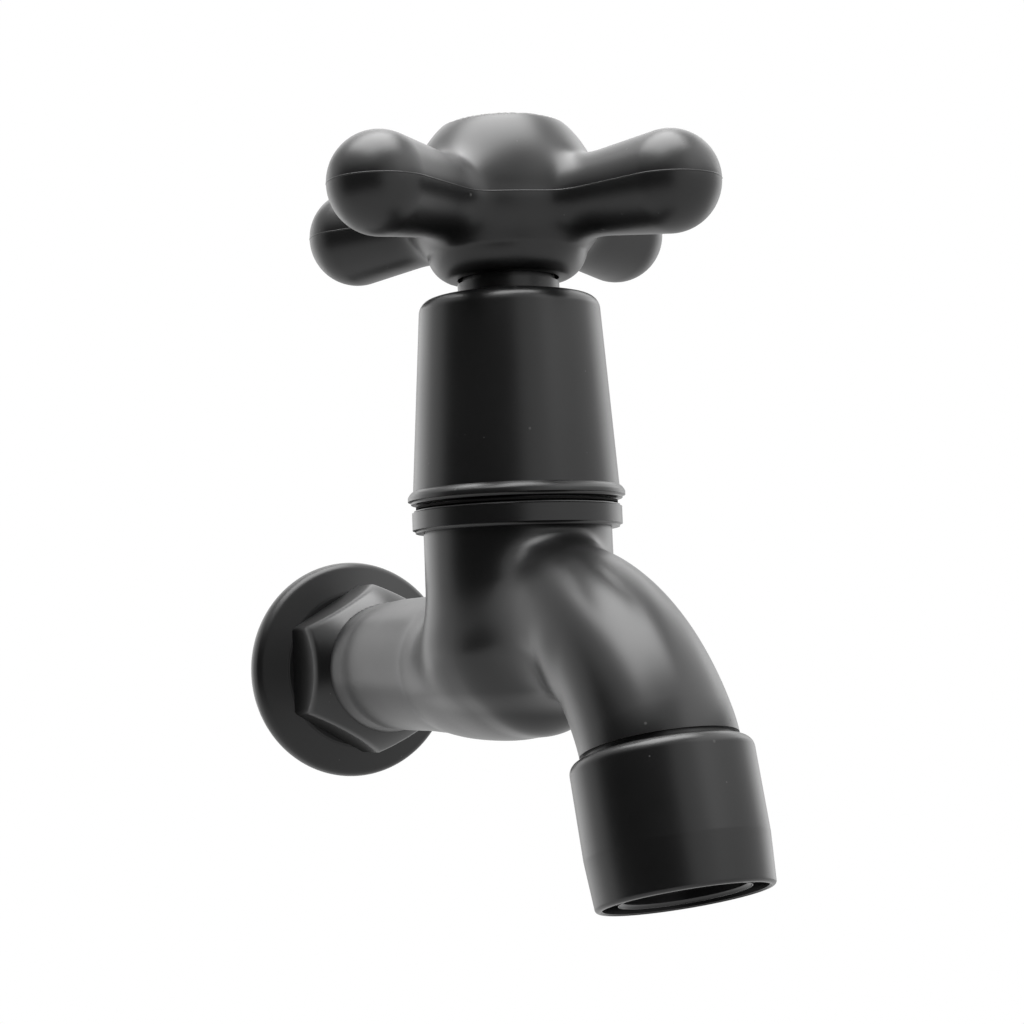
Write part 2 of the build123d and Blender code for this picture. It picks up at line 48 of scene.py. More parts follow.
# The three axes that pieces are turned about: origin, side, direction
reach = -frame["joints"][1]["pos_m"][1] / mm  # wall to valve axis
spoutEnd = {"y": -102.254, "z": -12.377, "tilt": 14.3}  # start of the nozzle, and its tilt from the vertical
tilt = math.radians(spoutEnd["tilt"])
outlet = np.array([0, spoutEnd["y"], spoutEnd["z"]])
sideways = np.array([1, 0, 0])
valveAxis = (np.array([0, -reach, 0]), sideways, np.array([0, 0, 1]))
wallAxis = (np.zeros(3), sideways, np.array([0, 1, 0]))
outletAxis = (outlet, sideways, np.array([0, math.sin(tilt), math.cos(tilt)]))
print("frame loaded, valve axis", round(reach, 2), "mm from the wall")


# Tools for meshes
sharpAngle = 32.0  # degrees, above which an edge is shaded sharp


def meshPiece(name, points, faces, sharp=sharpAngle):
    # a mesh from points in millimetres and faces of four corners; equal points are merged, so poles close
    mesh = bpy.data.meshes.new(name)
    mesh.from_pydata(points * mm, [], np.asarray(faces).tolist())
    work = bmesh.new()
    work.from_mesh(mesh)
    bmesh.ops.remove_doubles(work, verts=work.verts, dist=0.002 * mm)
    bmesh.ops.dissolve_degenerate(work, edges=work.edges, dist=0.001 * mm)
    bmesh.ops.recalc_face_normals(work, faces=work.faces)
    work.to_mesh(mesh)
    work.free()
    mesh.shade_smooth()
    mesh.set_sharp_from_angle(angle=math.radians(sharp))
    piece = bpy.data.objects.new(name, mesh)
    scene.collection.objects.link(piece)
    return piece


def gridFaces(rows, columns, closedRows=False, closedColumns=True):
    # corner numbers of the four-sided faces of a grid stored row by row
    rowCount, columnCount = rows - (not closedRows), columns - (not closedColumns)
    row, column = np.meshgrid(np.arange(rowCount), np.arange(columnCount), indexing="ij")
    nextRow, nextColumn = (row + 1) % rows, (column + 1) % columns
    corners = (
        row * columns + column,
        row * columns + nextColumn,
        nextRow * columns + nextColumn,
        nextRow * columns + column,
    )
    return np.stack(corners, -1).reshape(-1, 4)


def bow(start, end, radius, count=10):
    # arc from start to end; a positive radius bulges to the left of the way, a negative one to the right
    start, end = np.array(start, float), np.array(end, float)
    way = end - start
    left = np.array([-way[1], way[0]]) / np.linalg.norm(way)
    drop = math.sqrt(radius**2 - (way @ way) / 4)
    centre = (start + end) / 2 - left * drop * np.sign(radius)
    first, last = (math.atan2(*(place - centre)[::-1]) for place in (start, end))
    turn = (last - first + math.pi) % (2 * math.pi) - math.pi
    angles = first + turn * np.linspace(0, 1, count)
    return [tuple(centre + abs(radius) * np.array([math.cos(a), math.sin(a)])) for a in angles]


def eased(corners, rounding, count=5):
    # rounds each corner named in the dictionary {corner number: radius} with an arc that touches both sides
    corners = [np.array(corner, float) for corner in corners]
    line = []
    for number, corner in enumerate(corners):
        radius = rounding.get(number)
        if not radius:
            line.append(tuple(corner))
            continue
        back, forth = corners[number - 1] - corner, corners[(number + 1) % len(corners)] - corner
        back, forth = back / np.linalg.norm(back), forth / np.linalg.norm(forth)
        half = math.acos(np.clip(back @ forth, -1, 1)) / 2
        setBack = radius / math.tan(half)
        side = -radius if back[0] * forth[1] - back[1] * forth[0] > 0 else radius
        line += bow(corner + back * setBack, corner + forth * setBack, side, count)
    return line


def supported(line, closed=True, edge=0.15, longest=1.6):
    # adds points along each long straight run, near its ends too, so that smooth shading stays on the corners
    line = np.array(line, float)
    ends = np.roll(line, -1, axis=0) if closed else line[1:]
    out = []
    for start, end in zip(line, ends):
        length = np.linalg.norm(end - start)
        out.append(start)
        if length > 4 * edge:
            inner = np.linspace(edge, length - edge, max(2, int(length / longest) + 1)) / length
            out += [start + (end - start) * share for share in inner]
    if not closed:
        out.append(line[-1])
    return np.array(out)


def turned(name, outline, axis, segments=160, closed=True):
    # an outline of (radius, height) pairs carried round an axis:
    # origin + radius * (side * cos + across * sin) + height * direction
    origin, side, direction = axis
    across = np.cross(direction, side)
    line = supported(outline, closed)
    angles = np.linspace(0, 2 * math.pi, segments, endpoint=False)
    spokes = np.cos(angles)[:, None] * side + np.sin(angles)[:, None] * across
    points = origin + line[:, 0, None, None] * spokes + line[:, 1, None, None] * direction
    return meshPiece(name, points.reshape(-1, 3), gridFaces(len(line), segments, closedRows=closed))


def carved(piece, cutter):
    # cuts one piece with another, keeps the result as plain mesh and drops the cutter
    cut = piece.modifiers.new("cut", "BOOLEAN")
    cut.operation, cut.solver, cut.object = "DIFFERENCE", "EXACT", cutter
    mesh = bpy.data.meshes.new_from_object(piece.evaluated_get(bpy.context.evaluated_depsgraph_get()))
    piece.modifiers.clear()
    piece.data = mesh
    bpy.data.objects.remove(cutter)
    mesh.set_sharp_from_angle(angle=math.radians(sharpAngle))


def cutFlat(piece, place, direction):
    # removes what lies on the far side of a plane and closes the cut with one flat face
    work = bmesh.new()
    work.from_mesh(piece.data)
    everything = list(work.verts) + list(work.edges) + list(work.faces)
    cut = bmesh.ops.bisect_plane(
        work, geom=everything, dist=1e-7, plane_co=np.array(place) * mm, plane_no=direction, clear_outer=True
    )
    rim = [part for part in cut["geom_cut"] if isinstance(part, bmesh.types.BMEdge)]
    bmesh.ops.contextual_create(work, geom=rim)
    bmesh.ops.recalc_face_normals(work, faces=work.faces)
    work.to_mesh(piece.data)
    work.free()
    piece.data.set_sharp_from_angle(angle=math.radians(sharpAngle))


# Tools for shapes given as a distance: below zero inside, zero on the surface, above zero outside
def step(value, low, high):
    # 0 below low, 1 above high, smooth between
    share = np.clip((value - low) / (high - low), 0, 1)
    return share * share * (3 - 2 * share)


def mixed(first, second, share):
    return first + (second - first) * share


def roundCut(first, second, radius):
    # what both solids share, with its edge rounded to that radius
    inside = np.minimum(-radius, np.maximum(first, second))
    return inside + np.hypot(np.maximum(first + radius, 0), np.maximum(second + radius, 0))


def meltedUnion(first, second, width):
    # both solids together, with the valley filled where their distances differ by less than width
    near = np.maximum(width - np.abs(first - second), 0) / width
    return np.minimum(first, second) - near**3 * width / 6


def sectionField(outline, cell=0.1, margin=8.0):
    # signed distance to a closed outline in (radius, height), worked out once on a fine table
    line = np.array(outline, float)
    low, high = line.min(0) - margin, line.max(0) + margin
    columns, rows = (np.arange(a, b + cell, cell) for a, b in zip(low, high))
    radius, height = (field.ravel() for field in np.meshgrid(columns, rows, indexing="ij"))
    nearest, inside = np.full(radius.shape, 1e9), np.zeros(radius.shape, bool)
    for (ax, ay), (bx, by) in zip(line, np.roll(line, -1, axis=0)):
        dx, dy = bx - ax, by - ay
        share = np.clip(((radius - ax) * dx + (height - ay) * dy) / max(dx * dx + dy * dy, 1e-12), 0, 1)
        nearest = np.minimum(nearest, np.hypot(radius - ax - share * dx, height - ay - share * dy))
        if dy:
            inside ^= ((ay > height) != (by > height)) & (radius < ax + (height - ay) / dy * dx)
    table = np.where(inside, -nearest, nearest).reshape(len(columns), len(rows))

    def distance(radius, height):
        across = np.clip((radius - low[0]) / cell, 0, len(columns) - 1.001)
        along = np.clip((height - low[1]) / cell, 0, len(rows) - 1.001)
        column, row = across.astype(int), along.astype(int)
        u, v = across - column, along - row
        return (
            table[column, row] * (1 - u) * (1 - v)
            + table[column + 1, row] * u * (1 - v)
            + table[column, row + 1] * (1 - u) * v
            + table[column + 1, row + 1] * u * v
        )

    return distance


def slopeOf(distance, points, offset=0.02):
    # gradient of a distance by central differences
    ends = [(distance(points + offset * axis), distance(points - offset * axis)) for axis in np.eye(3)]
    return np.stack([(ahead - behind) / (2 * offset) for ahead, behind in ends], axis=1)


def settled(distance, points, rounds=4):
    # Newton steps along the gradient, which bring points onto the surface
    for _ in range(rounds):
        slope = slopeOf(distance, points)
        points = points - (distance(points) / np.maximum((slope**2).sum(1), 0.05))[:, None] * slope
    return points


def netSurface(distance, low, high, cell):
    # one point in each grid cell that the surface crosses, settled onto it, and a face across each grid edge
    # that it crosses; then each point moves once to the middle of its faces and back onto the surface
    axes = [np.arange(a, b + cell, cell) for a, b in zip(low, high)]
    shape = tuple(len(axis) for axis in axes)
    slices = (np.stack(np.meshgrid([x], axes[1], axes[2], indexing="ij"), -1).reshape(-1, 3) for x in axes[0])
    inside = np.stack([distance(points) < 0 for points in slices]).reshape(shape)
    corners = sum(
        inside[i : shape[0] - 1 + i, j : shape[1] - 1 + j, k : shape[2] - 1 + k].astype(np.int8)
        for i in (0, 1) for j in (0, 1) for k in (0, 1)
    )
    crossed = (corners > 0) & (corners < 8)
    number = np.full(crossed.shape, -1)
    number[crossed] = np.arange(crossed.sum())
    points = settled(distance, np.array(low) + (np.argwhere(crossed) + 0.5) * cell)
    faces = []
    for axis in range(3):
        first, second = [other for other in range(3) if other != axis]
        start = np.take(inside, np.arange(shape[axis] - 1), axis)
        end = np.take(inside, np.arange(1, shape[axis]), axis)
        edges = np.argwhere(start != end)
        beside = edges[:, [first, second]]
        if (beside < 1).any() or (beside > np.array(shape)[[first, second]] - 2).any():
            raise ValueError("the surface leaves its box")
        stepFirst, stepSecond = np.eye(3, dtype=int)[first], np.eye(3, dtype=int)[second]
        around = [edges, edges - stepFirst, edges - stepFirst - stepSecond, edges - stepSecond]
        faces.append(np.stack([number[tuple(place.T)] for place in around], axis=1))
    faces = np.concatenate(faces)
    middles = points[faces].mean(1)
    total, count = np.zeros_like(points), np.zeros(len(points))
    for corner in range(4):
        np.add.at(total, faces[:, corner], middles)
        np.add.at(count, faces[:, corner], 1)
    return settled(distance, total / count[:, None], 2), faces


# Materials
class Wire:
    # the output of a node, with arithmetic; the tree it belongs to comes with it

    def __init__(self, tree, socket=None):
        self.tree, self.socket = tree, socket

    def node(self, kind, inputs=None, output=0, **settings):
        made = self.tree.nodes.new(kind)
        for name, value in settings.items():
            setattr(made, name, value)
        for name, value in (inputs or {}).items():
            if isinstance(value, Wire):
                self.tree.links.new(value.socket, made.inputs[name])
            else:
                made.inputs[name].default_value = value
        return Wire(self.tree, made.outputs[output] if made.outputs else None)

    def maths(self, operation, first, second):
        return self.node("ShaderNodeMath", {0: first, 1: second}, operation=operation)

    def __add__(self, other):
        return self.maths("ADD", self, other)

    def __sub__(self, other):
        return self.maths("SUBTRACT", self, other)

    def __rsub__(self, other):
        return self.maths("SUBTRACT", other, self)

    def __mul__(self, other):
        return self.maths("MULTIPLY", self, other)

    __radd__, __rmul__ = __add__, __mul__

    def between(self, low, high):
        # 0 below low, 1 above high, smooth between
        return self.node("ShaderNodeMapRange", {0: self, 1: low, 2: high}, interpolation_type="SMOOTHSTEP")


def noise(wire, place, scale, detail, **inputs):
    return wire.node("ShaderNodeTexNoise", {"Vector": place, "Scale": scale, "Detail": detail, **inputs})


def rings(wire, place, scale, distortion):
    # bands across the height, as a lathe leaves them
    inputs = {"Vector": place, "Scale": scale, "Distortion": distortion}
    return wire.node("ShaderNodeTexWave", inputs, output=1, bands_direction="Z")


def vector(wire, operation, place, values):
    return wire.node("ShaderNodeVectorMath", {0: place, 1: values}, operation=operation)


def colourBetween(wire, share, first, second, **settings):
    # the Mix node's sockets 6 and 7 are its two colours, and its output 2 is the colour between them
    sockets = {0: share, 6: first, 7: second}
    return wire.node("ShaderNodeMix", sockets, output=2, data_type="RGBA", **settings)


def newMaterial(name):
    # an empty material with its shader, and the place on the piece in millimetres
    material = bpy.data.materials.new(name)
    material.use_nodes = True
    tree = material.node_tree
    tree.nodes.clear()
    shader = tree.nodes.new("ShaderNodeBsdfPrincipled")
    target = tree.nodes.new("ShaderNodeOutputMaterial")
    tree.links.new(shader.outputs[0], target.inputs[0])
    wire = Wire(tree)
    metres = wire.node("ShaderNodeTexCoord", output="Object")
    place = wire.node("ShaderNodeVectorMath", {0: metres, "Scale": 1 / mm}, operation="SCALE")
    return material, shader, wire, place


def dress(shader, wire, colour, rough, height):
    # joins colour, roughness and a relief in millimetres to the shader
    bump = wire.node("ShaderNodeBump", {"Height": height * mm, "Distance": 1.0, "Strength": 1.0})
    for socket, value in (("Base Color", colour), ("Roughness", rough), ("Normal", bump)):
        wire.tree.links.new(value.socket, shader.inputs[socket])


spot = {"edge": (0.05, 0.16), "pick": 0.002}  # where a spot fades out from the middle of its cell


def fleck(wire, place, scale, share, seed):
    # small spots on a share of the cells of a pattern, 1 in a spot and 0 elsewhere
    shifted = vector(wire, "ADD", place, (seed, 2.3 * seed, 0.7 * seed))
    pattern = {"Vector": shifted, "Scale": scale, "Randomness": 1.0}
    fromMiddle = wire.node("ShaderNodeTexVoronoi", pattern, output="Distance")
    chance = wire.node("ShaderNodeTexVoronoi", pattern, output="Color")
    picked = wire.node("ShaderNodeSeparateColor", {0: chance}).between(1 - share, 1 - share + spot["pick"])
    return picked * (1 - fromMiddle.between(*spot["edge"]))


def mouldedPlastic(name, look):
    # satin plastic from the mould: fine spark-eroded grain, slight sink and flow, dust and faint scuffs
    material, shader, wire, place = newMaterial(name)
    flow = noise(wire, place, look["flowScale"], 2.0)
    grain = noise(wire, place, look["grainScale"], 3.0)
    streak = vector(wire, "MULTIPLY", place, look["scuffStretch"])
    scuff = noise(wire, streak, look["scuffScale"], 4.0, Roughness=0.7).between(*look["scuffShare"])
    spots = [fleck(wire, place, scale, look["dust"], seed) for scale, seed in look["dustCells"]]
    dust = spots[0] + spots[1]
    rough = look["roughness"] + look["flowRough"] * (flow - 0.5) + look["grainRough"] * (grain - 0.5)
    rough = rough + look["scuffRough"] * scuff + look["dustRough"] * dust
    tone = look["tone"] + look["flowTone"] * flow + look["grainTone"] * (grain - 0.5)
    black, plain = (0.0, 0.0, 0.0, 1.0), look["colour"] + (1.0,)
    plain = colourBetween(wire, tone, black, plain, clamp_factor=False)
    dusty = wire.maths("MINIMUM", dust * look["dustPale"] + scuff * look["scuffPale"], 1.0)
    colour = colourBetween(wire, dusty, plain, look["dustColour"] + (1.0,))
    height = look["grainDepth"] * grain + look["sink"] * flow + look["dustDepth"] * dust
    dress(shader, wire, colour, rough, height)
    shader.inputs["IOR"].default_value = look["ior"]
    return material


def cloudyMaterial(name, look):
    # colour and roughness vary in soft clouds, with a fine relief of grain or of the rings a lathe leaves
    material, shader, wire, place = newMaterial(name)
    cloud = noise(wire, place, look["cloudScale"], look["cloudDetail"])
    colour = colourBetween(wire, cloud, look["dark"] + (1.0,), look["pale"] + (1.0,))
    if "ringScale" in look:
        relief = rings(wire, place, look["ringScale"], look["ringBend"])
    else:
        relief = noise(wire, place, look["grainScale"], look["grainDetail"])
    dress(shader, wire, colour, look["roughness"] + look["uneven"] * cloud, look["relief"] * relief)
    shader.inputs["IOR"].default_value = look["ior"]
    shader.inputs["Metallic"].default_value = look["metallic"]
    return material


plastic = {  # dustCells gives the scale and the seed of two patterns of spots, dust the share with a spot
    "colour": (0.004, 0.004, 0.0042), "tone": 0.85, "roughness": 0.33, "ior": 1.49,
    "flowScale": 0.09, "flowRough": 0.09, "flowTone": 0.3, "sink": 0.05,
    "grainScale": 4.0, "grainRough": 0.05, "grainTone": 0.12, "grainDepth": 0.0016,
    "scuffStretch": (0.25, 0.9, 3.0), "scuffScale": 1.3, "scuffShare": (0.62, 0.72),
    "scuffRough": 0.07, "scuffPale": 0.04,
    "dust": 0.02, "dustCells": ((0.55, 3.1), (1.1, 8.7)), "dustColour": (0.07, 0.07, 0.068),
    "dustRough": 0.2, "dustPale": 0.75, "dustDepth": 0.01,
}
acetal = {  # waxy off-white engineering plastic, turned
    "dark": (0.62, 0.61, 0.57), "pale": (0.74, 0.73, 0.69), "cloudScale": 0.25, "cloudDetail": 3.0,
    "roughness": 0.32, "uneven": 0.1, "ringScale": 2.2, "ringBend": 0.3, "relief": 0.003,
    "ior": 1.5, "metallic": 0.0,
}
rubber = {  # matt black rubber with a soft bloom
    "dark": (0.002, 0.002, 0.002), "pale": (0.006, 0.006, 0.006), "cloudScale": 0.6, "cloudDetail": 5.0,
    "roughness": 0.75, "uneven": 0.16, "grainScale": 7.0, "grainDetail": 2.0, "relief": 0.004,
    "ior": 1.3, "metallic": 0.0,
}
steel = {  # bright stainless screw steel with turning marks and dull patches
    "dark": (0.46, 0.46, 0.45), "pale": (0.6, 0.6, 0.58), "cloudScale": 0.8, "cloudDetail": 4.0,
    "roughness": 0.22, "uneven": 0.22, "ringScale": 4.0, "ringBend": 0.6, "relief": 0.004,
    "ior": 1.5, "metallic": 1.0,
}
finishes = {
    "body_plastic": mouldedPlastic("bodyPlastic", plastic),
    "flange_plastic": mouldedPlastic("flangePlastic", plastic | {"roughness": 0.38, "ior": 1.45}),
    "cup_plastic": mouldedPlastic("cupPlastic", plastic | {"sink": 0.02}),
    "handle_plastic": mouldedPlastic("handlePlastic", plastic | {"roughness": 0.38, "dust": 0.025}),
    "nozzle_plastic": mouldedPlastic("nozzlePlastic", plastic | {"sink": 0.02}),
    "insert_plastic": mouldedPlastic("insertPlastic", plastic | {"roughness": 0.3}),
    "guide_plastic": mouldedPlastic("guidePlastic", plastic),
    "acetal": cloudyMaterial("acetal", acetal),
    "rubber": cloudyMaterial("rubber", rubber),
    "steel": cloudyMaterial("steel", steel),
}
print("materials made:", len(finishes))


def placePiece(piece, slot, body, *replaced):
    # gives a piece its finish, the body it rides on and the CAD nodes that it stands for
    piece.data.materials.clear()
    piece.data.materials.append(finishes[slot])
    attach(piece, body)
    if replaced:
        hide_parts(*replaced)
    print(piece.name, len(piece.data.polygons), "faces")


# Body: inlet tube, belly, neck and spout in one skin
body = {
    "tubeR": 10.7, "tubeEnd": -14.5, "tubeMelt": 0.02, "waist": 0.25, "waistAt": 4.0, "waistWide": 3.5,
    "bellyR": 11.55, "bellyY": -55.0, "bellyCurve": 75.0, "bellyFront": -70.0, "noseLength": 7.6,
    "lift": 0.4, "liftStarts": (-46.0, -32.0), "liftStops": (-21.0, -17.0),
    "neckR": 14.0, "neckRound": 5.6, "neckTop": 21.0, "groove": 0.7, "spoutCut": 1.5,
    "low": (-15.2, -114.6, -20.5), "high": (15.2, -13.2, 22.4), "cell": 0.42,
}
spout = {
    "rise": 8.3, "lead": 6.1, "bend": 35.2, "bendAngle": 62.0, "tailBend": 9.0,
    "startR": 9.35, "endR": 10.85, "stub": 6.0,
}
creases = {  # how wide each soft valley is, and the heights or ways from the wall between which it gives way
    "low": 7.5, "front": 3.0, "frontAt": (69.0, 77.0), "tube": 4.0, "tubeAt": (-1.0, 8.0),
    "under": 2.5, "flank": 18.0, "flankAt": (-10.0, -4.0), "flankStops": (88.0, 101.0),
    "hood": 6.0, "hoodAt": (1.0, 12.0),
}
hexagon = {
    "across": 24.7, "back": -5.5, "cornerFront": -11.8, "front": -17.1, "baseR": 10.6, "swell": 20.0,
    "bevel": 0.5, "edge": 0.3, "low": (-15.3, -20.0, -15.3), "high": (15.3, -4.2, 15.3), "cell": 0.3,
}


def bellyOutline():
    # tube, barrel arc and elliptical nose, as radius against y; tube and barrel melt into each other
    s = body
    y = np.linspace(s["tubeEnd"], s["bellyFront"], 120)
    arc = s["bellyR"] - s["bellyCurve"] + np.sqrt(s["bellyCurve"] ** 2 - (y - s["bellyY"]) ** 2)
    soft = (arc + s["tubeR"] + np.sqrt((arc - s["tubeR"]) ** 2 + s["tubeMelt"])) / 2
    off = hexagon["front"] - y  # the tube has a shallow waist just past the hexagon
    soft = soft - s["waist"] * np.exp(-(((off - s["waistAt"]) / s["waistWide"]) ** 2))
    around = np.linspace(0, math.pi / 2, 24)[1:]
    nose = np.stack([soft[-1] * np.cos(around), s["bellyFront"] - s["noseLength"] * np.sin(around)], 1)
    return np.concatenate([[[0, s["tubeEnd"]]], np.stack([soft, y], 1), nose])


bellyField = sectionField(bellyOutline())

# The middle line of the spout: a straight lead, a long arc and a short tighter one, which ends at the outlet
bendAngle, tailAngle = math.radians(spout["bendAngle"]), math.radians(90 - spoutEnd["tilt"])
bendCentre = np.array([-reach - spout["lead"], spout["rise"] - spout["bend"]])  # y and z
bendEnd = np.array([-math.sin(bendAngle), math.cos(bendAngle)])  # from the centre towards the arc's end
tailCentre = bendCentre + (spout["bend"] - spout["tailBend"]) * bendEnd
bendTravel = spout["lead"] + spout["bend"] * bendAngle  # way along the middle line to the end of the long arc
grow = (spout["endR"] - spout["startR"]) / (bendTravel + spout["tailBend"] * (tailAngle - bendAngle))


def arcBar(points, centre, bend, low, high, travelled):
    # distance to a bar whose middle runs along an arc in the plane x = 0, and whose radius grows on the way
    x, y, z = points.T
    angle = np.clip(np.arctan2(centre[0] - y, z - centre[1]), low, high)
    nearY, nearZ = centre[0] - bend * np.sin(angle), centre[1] + bend * np.cos(angle)
    radius = spout["startR"] + grow * (travelled + bend * (angle - low))
    return np.sqrt(x**2 + (y - nearY) ** 2 + (z - nearZ) ** 2) - radius


def spoutDistance(points):
    # the straight lead, both arcs and a stub along the outlet axis, whichever is nearest
    x, y, z = points.T
    travel = np.clip(-reach - y, 0, spout["lead"])
    fromLine = np.sqrt(x**2 + (z - spout["rise"]) ** 2 + (y + reach + travel) ** 2)
    lead = fromLine - spout["startR"] - grow * travel
    long = arcBar(points, bendCentre, spout["bend"], 0, bendAngle, spout["lead"])
    tail = arcBar(points, tailCentre, spout["tailBend"], bendAngle, tailAngle, bendTravel)
    offset = points - outlet
    height = np.clip(offset @ outletAxis[2], -spout["stub"], 0)
    stub = np.linalg.norm(offset - height[:, None] * outletAxis[2], axis=1) - spout["endR"]
    return np.minimum(np.minimum(lead, long), np.minimum(tail, stub))


def bodyDistance(points):
    # barrel and tube, the rounded neck and the spout, melted together; the tube keeps a tighter corner on top
    # and sits a little high along its middle
    x, y, z = points.T
    s, c = body, creases
    rise = s["lift"] * step(y, *s["liftStarts"]) * (1 - step(y, *s["liftStops"]))
    barrel = bellyField(np.hypot(x, z - rise), y)
    drop = np.minimum(z - s["neckRound"], 0)
    neck = np.sqrt(x**2 + (y + reach) ** 2 + drop**2) - s["neckR"]
    neckCrease = mixed(c["low"], c["front"], step(-y, *c["frontAt"]))
    neckCrease = mixed(neckCrease, c["tube"], step(z, *c["tubeAt"]))
    flank = step(z, *c["flankAt"]) * (1 - step(-y, *c["flankStops"]))
    spoutCrease = mixed(c["under"], c["flank"], flank)
    spoutCrease = mixed(spoutCrease, c["hood"], step(z, *c["hoodAt"]))
    joined = meltedUnion(meltedUnion(barrel, neck, neckCrease), spoutDistance(points), spoutCrease)
    height = (points - outlet) @ outletAxis[2]
    return np.maximum(joined, np.maximum(z - s["neckTop"], -s["spoutCut"] - height))


points, faces = netSurface(bodyDistance, body["low"], body["high"], body["cell"])
bodyShell = meshPiece("bodyShell", points, faces)
cutFlat(bodyShell, outlet + body["groove"] * outletAxis[2], -outletAxis[2])
placePiece(bodyShell, "body_plastic", "tap", "tap_body")

# Collar and the round end that the cup screws on
collar = {"innerR": 10.0, "r": 15.6, "bottom": 19.6, "top": 22.9, "endR": 12.3, "endTop": 34.0}
corners = [
    (collar["innerR"], collar["bottom"]), (collar["r"], collar["bottom"]), (collar["r"], collar["top"]),
    (collar["endR"], collar["top"]), (collar["endR"], collar["endTop"]), (collar["innerR"], collar["endTop"]),
]
placePiece(turned("collar", eased(corners, {1: 0.45, 2: 0.3}), valveAxis), "body_plastic", "tap")

# Ring in the groove over the nozzle, and the hollow end that the nozzle screws on
outletEnd = {
    "ringR": 10.2, "ringTop": 1.2, "slopeTop": 1.8, "endR": 9.4, "length": 8.5,
    "boreR": 7.0, "deep": 4.0, "topR": 8.0, "top": 5.5,
}
line = [
    (0, outletEnd["deep"]), (outletEnd["boreR"], outletEnd["deep"]),
    (outletEnd["boreR"], -outletEnd["length"]), (outletEnd["endR"], -outletEnd["length"]),
    (outletEnd["endR"], 0), (outletEnd["ringR"], 0),
    (outletEnd["ringR"], outletEnd["ringTop"]), (outletEnd["endR"], outletEnd["slopeTop"]),
    (outletEnd["topR"], outletEnd["top"]), (0, outletEnd["top"]),
]
placePiece(turned("outletEnd", line, outletAxis, 128, closed=False), "body_plastic", "tap")


def hexagonDistance(points):
    # six flat sides with a corner on top; the front is a slightly swollen cone through the corners' front and
    # the edge of the base, so each flat ends in an arc; the corners and the arcs are rounded
    x, y, z = points.T
    s = hexagon
    turns = np.radians((0, 60, 120))
    across = [np.abs(x * math.cos(turn) + z * math.sin(turn)) - s["across"] / 2 for turn in turns]
    sides = roundCut(roundCut(across[0], across[1], s["edge"]), across[2], s["edge"])
    start = np.array([s["across"] / 2 / math.cos(math.pi / 6), s["cornerFront"]])
    end = np.array([s["baseR"], s["front"]])
    way = end - start
    outward = np.array([-way[1], way[0]]) / np.linalg.norm(way)
    centre = (start + end) / 2 - outward * math.sqrt(s["swell"] ** 2 - way @ way / 4)
    cone = np.hypot(np.hypot(x, z) - centre[0], y - centre[1]) - s["swell"]
    return np.maximum(roundCut(sides, cone, s["bevel"]), np.maximum(y - s["back"], s["front"] - y))


points, faces = netSurface(hexagonDistance, hexagon["low"], hexagon["high"], hexagon["cell"])
placePiece(meshPiece("hexagon", points, faces), "body_plastic", "tap")

# Inlet thread with an open bore
inlet = {
    "r": 10.4775, "length": 15.0, "pitch": 1.814, "depth": 1.16, "rootShare": 0.9, "crest": 0.93,
    "runOut": (0.2, 1.6), "chamfer": 1.0, "lip": 0.3, "lipIn": 0.25, "boreEdge": 0.4, "spokes": 144,
    "shankR": 10.1, "shankEnd": -12.0, "shankTop": -0.4, "threadFoot": -0.1,
    "boreR": 7.0, "boreEnd": -48.0, "linerR": 8.5, "linerEnd": -52.0,
}


def inletPiece():
    # rows along y and spokes round it; on the thread rows the radius drops by a rounded triangle wave of turn
    # and travel, which runs out before the shank
    s = inlet
    angle = np.arange(s["spokes"]) * 2 * math.pi / s["spokes"]
    rows = np.linspace(0.0, s["length"] - s["lip"], 150)[:, None]
    wave = np.sin(2 * math.pi * rows / s["pitch"] + angle)
    ridge = np.arcsin(s["crest"] * wave) / math.asin(s["crest"])
    fade = step(rows, *s["runOut"])
    rootR = s["depth"] * s["rootShare"]
    threadR = s["r"] - s["depth"] * (0.5 - 0.5 * ridge) * fade - rootR * (1 - fade)
    past = rows - s["length"] + s["chamfer"] + s["lip"]
    threadR = np.minimum(threadR, s["r"] - past * (past > 0))
    foot = (s["r"] - rootR, s["threadFoot"])
    shank = np.array([(s["shankR"], s["shankEnd"]), (s["shankR"], s["shankTop"]), foot])
    bore = np.array([
        (s["r"] - s["chamfer"] - s["lipIn"], s["length"]), (s["boreR"] + s["boreEdge"], s["length"]),
        (s["boreR"], s["length"] - s["boreEdge"]), (s["boreR"], 0), (s["boreR"], s["boreEnd"]),
        (0, s["boreEnd"]), (0, s["linerEnd"]), (s["linerR"], s["linerEnd"]), (s["linerR"], s["shankEnd"]),
    ])
    parts = ((shank[:, :1], shank[:, 1:]), (threadR, rows), (bore[:, :1], bore[:, 1:]))
    radius, height = (np.concatenate([part[i] + 0 * angle for part in parts]) for i in (0, 1))
    points = np.stack([radius * np.cos(angle), height, radius * np.sin(angle)], -1).reshape(-1, 3)
    return meshPiece("inletThread", points, gridFaces(len(radius), s["spokes"], closedRows=True), 40)


placePiece(inletPiece(), "body_plastic", "tap")
print("body done")

# Wall flange: a flat face, a rounded edge and a bulged rim, hollow behind
flange = {
    "boreR": 10.58, "depth": 5.5, "flatR": 13.2, "flatRound": 0.8, "faceR": 17.2, "faceDepth": 4.0,
    "sideR": 18.1, "sideDepth": 3.1, "round": 1.5, "backR": 17.75, "bulge": 3.7,
    "recessR": 15.6, "recess": 2.5, "hubR": 12.6,
}


